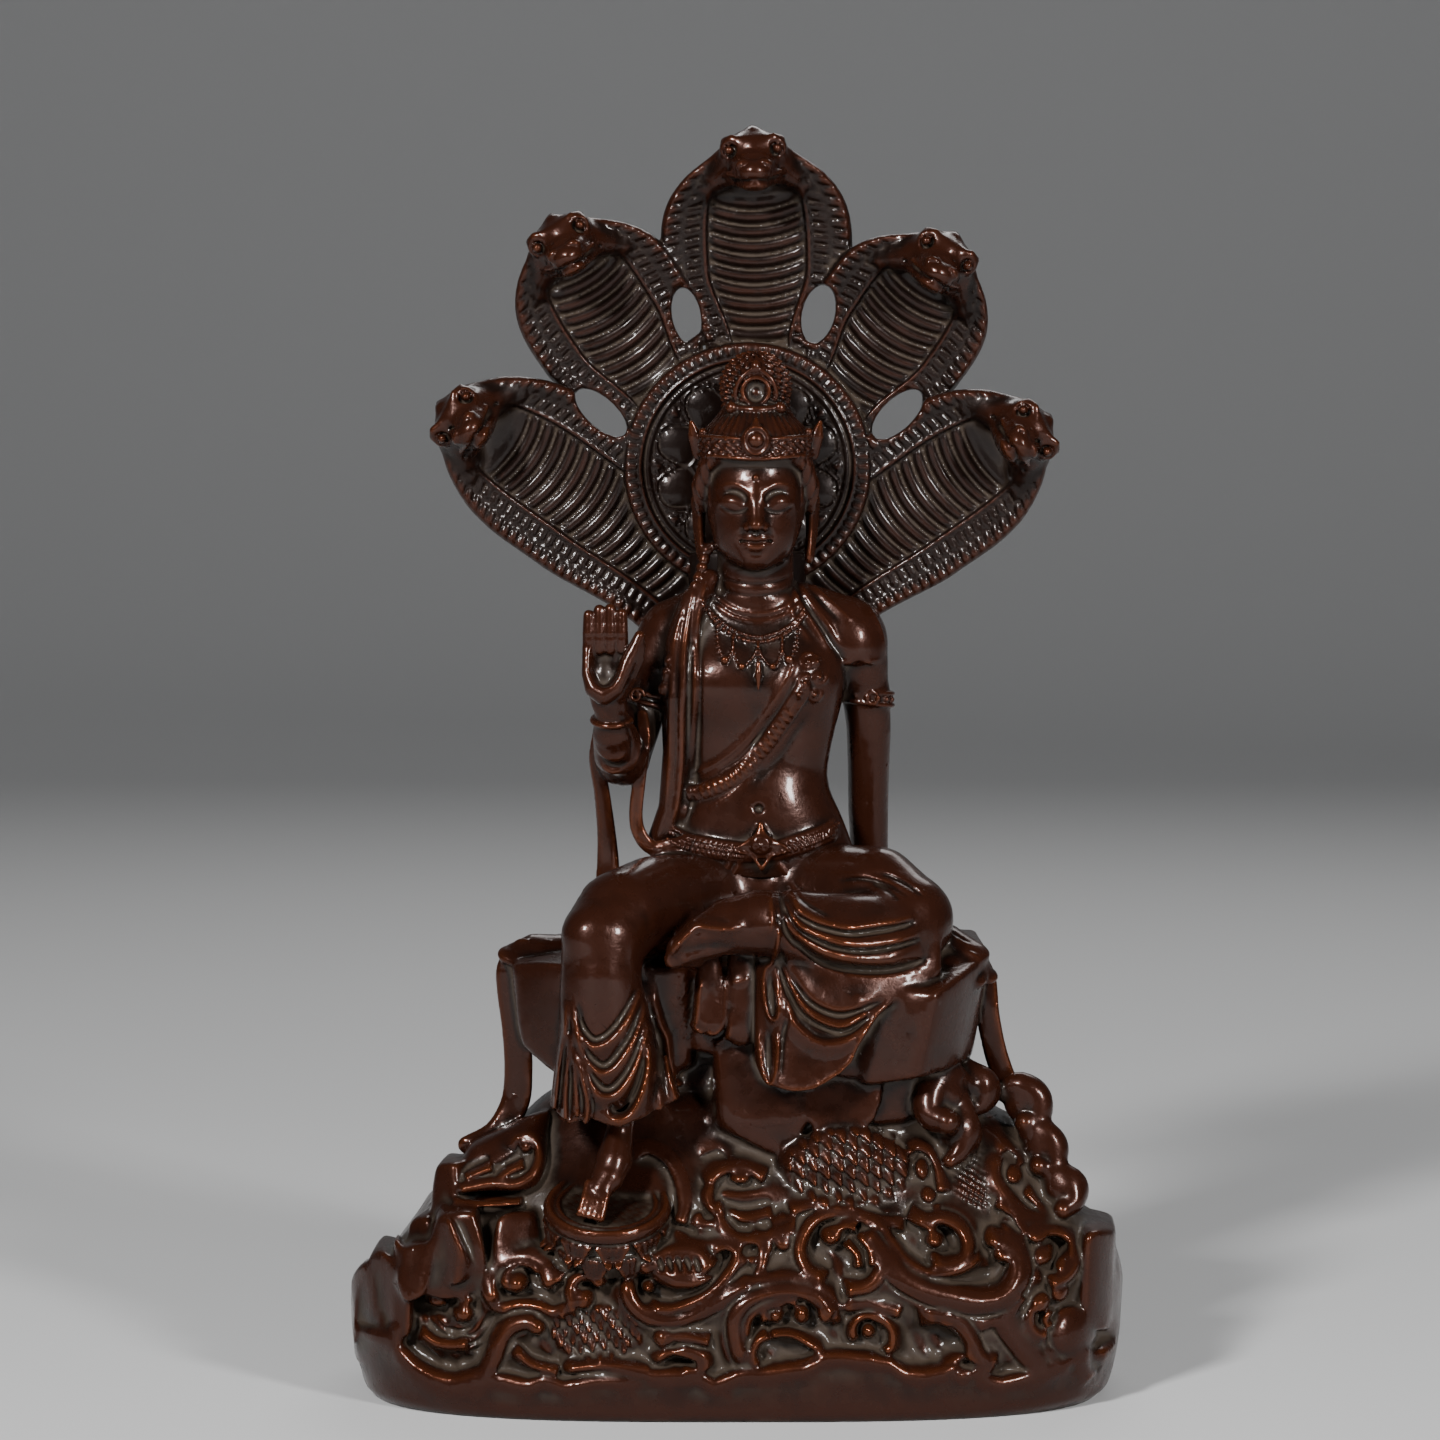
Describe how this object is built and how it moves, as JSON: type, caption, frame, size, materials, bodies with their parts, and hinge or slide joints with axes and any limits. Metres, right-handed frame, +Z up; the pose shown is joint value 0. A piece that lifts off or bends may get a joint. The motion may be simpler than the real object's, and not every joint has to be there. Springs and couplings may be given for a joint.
{
  "type": "naga bodhisattva statue",
  "caption": "Dark bronze statuette of a seated bodhisattva under a hood of cobras, one foot on a lotus, on a rock above curling waves and a scaled body.",
  "frame": {"origin": "middle of the flat underside", "axes": "+Z up through the figure, the figure faces -Y, +X is the viewer's right"},
  "size_m": [0.23, 0.1228, 0.3671],
  "materials": {
    "bronze": "dark brown waxed patina, chestnut on rubbed edges, grey-brown dust in recesses"
  },
  "bodies": {
    "root": {"naga_bodhisattva_statue": "bronze"}
  },
  "joints": []
}
